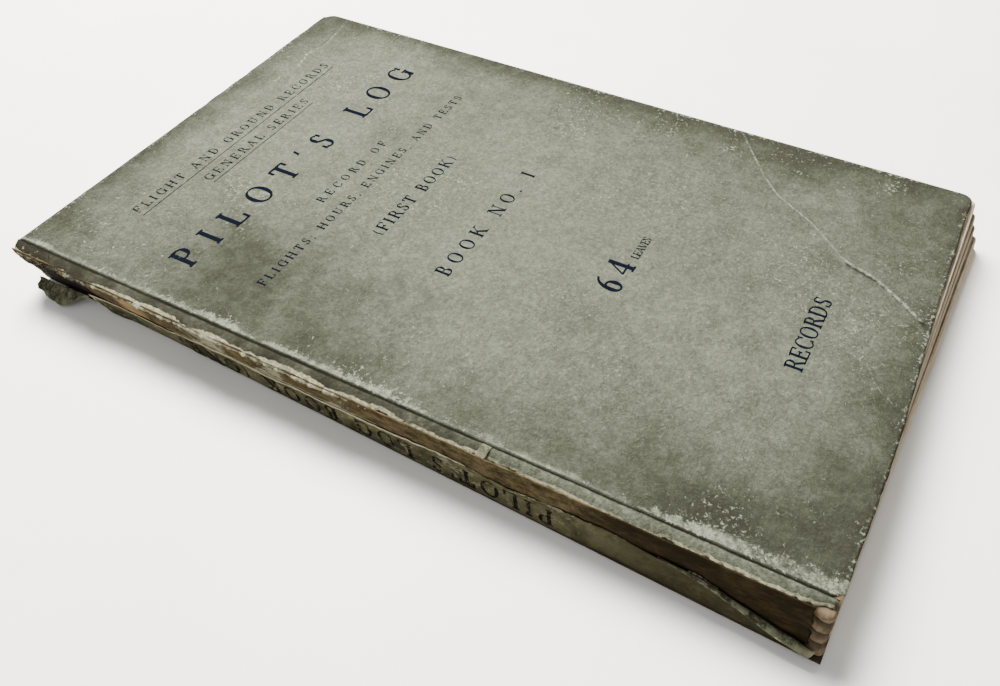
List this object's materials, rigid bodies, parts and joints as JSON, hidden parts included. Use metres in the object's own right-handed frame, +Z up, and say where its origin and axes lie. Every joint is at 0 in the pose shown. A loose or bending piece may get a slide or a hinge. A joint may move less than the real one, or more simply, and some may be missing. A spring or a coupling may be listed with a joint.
{
  "type": "pilot logbook",
  "caption": "Small worn sewn book in thin grey-green card covers, lying closed on its back cover; covers, endpapers and gatherings open on hinges.",
  "frame": {"origin": "middle of the footprint, on the surface the book lies on", "axes": "+X from the spine to the fore-edge, +Y from the tail to the head, +Z up out of the front cover"},
  "size_m": [0.1494, 0.2222, 0.0149],
  "materials": {
    "cover_paper": "matt, soiled",
    "cover_card": "matt",
    "endpaper": "matt, toned",
    "leaves": "matt, toned",
    "tape": "plain weave",
    "thread": "twisted",
    "mull": "open weave",
    "lining": "glue-stained",
    "spine_paper": "worn",
    "strip": "worn"
  },
  "bodies": {
    "back_cover": {"back_cover_paper": "cover_paper", "back_cover_board": "cover_card", "back_pastedown": "endpaper"},
    "back_endpaper": {"back_free_endpaper": "endpaper"},
    "lower_block": {"gathering_4": "leaves", "lower_spine_lining": "lining", "lower_sewing_threads": "thread", "tail_sewing_tape": "tape", "middle_sewing_tape": "tape", "head_sewing_tape": "tape", "mull_cloth": "mull", "spine_paper": "spine_paper", "back_hinge_strip": "strip"},
    "lower_centre_gathering": {"gathering_3": "leaves"},
    "upper_block": {"gathering_1": "leaves", "upper_spine_lining": "lining", "upper_sewing_threads": "thread", "front_hinge_strip": "strip"},
    "upper_centre_gathering": {"gathering_2": "leaves"},
    "front_endpaper": {"front_free_endpaper": "endpaper"},
    "front_cover": {"front_cover_paper": "cover_paper", "front_cover_board": "cover_card", "front_pastedown": "endpaper"},
    "spine_flap": {"torn_spine_flap": "spine_paper"}
  },
  "joints": [
    {"name": "back_cover_hinge", "type": "hinge", "parent": "back_cover", "child": "lower_block", "pos_m": [-0.06712, 0.00172, 0], "axis": [-0.0358, -0.9994, 0], "range_deg": [0, 60]},
    {"name": "book_opening", "type": "hinge", "parent": "lower_block", "child": "upper_block", "pos_m": [-0.07167, 0.00252, 0.00747], "axis": [-0.0179, -0.9998, 0], "range_deg": [0, 120], "deforming": ["mull_cloth", "spine_paper", "tail_sewing_tape", "middle_sewing_tape", "head_sewing_tape"]},
    {"name": "front_cover_hinge", "type": "hinge", "parent": "upper_block", "child": "front_cover", "pos_m": [-0.06853, 0.00315, 0.01494], "axis": [0, -1, 0], "range_deg": [0, 170]},
    {"name": "front_endpaper_turn", "type": "hinge", "parent": "upper_block", "child": "front_endpaper", "pos_m": [-0.06818, 0.00306, 0.01393], "axis": [-0.0024, -1, 0], "range_deg": [0, 68]},
    {"name": "back_endpaper_turn", "type": "hinge", "parent": "back_cover", "child": "back_endpaper", "pos_m": [-0.06696, 0.00181, 0.00101], "axis": [-0.0334, -0.9994, 0], "range_deg": [0, 30]},
    {"name": "upper_centre_fan", "type": "hinge", "parent": "upper_block", "child": "upper_centre_gathering", "pos_m": [-0.06887, 0.00262, 0.00906], "axis": [-0.0141, -0.9999, 0], "range_deg": [-12, 0]},
    {"name": "lower_centre_fan", "type": "hinge", "parent": "lower_block", "child": "lower_centre_gathering", "pos_m": [-0.06857, 0.00232, 0.00588], "axis": [-0.0217, -0.9998, 0], "range_deg": [0, 12]},
    {"name": "flap_hinge", "type": "hinge", "parent": "lower_block", "child": "spine_flap", "pos_m": [-0.0696, 0.09234, 0.0056], "axis": [-0.0224, -0.9997, 0], "range_deg": [-8, 22]}
  ],
  "couplings": [
    {"joint": "front_endpaper_turn", "follows": "front_cover_hinge", "ratio": 0.4},
    {"joint": "back_endpaper_turn", "follows": "back_cover_hinge", "ratio": 0.5},
    {"joint": "upper_centre_fan", "follows": "book_opening", "ratio": -0.1},
    {"joint": "lower_centre_fan", "follows": "book_opening", "ratio": 0.1}
  ]
}
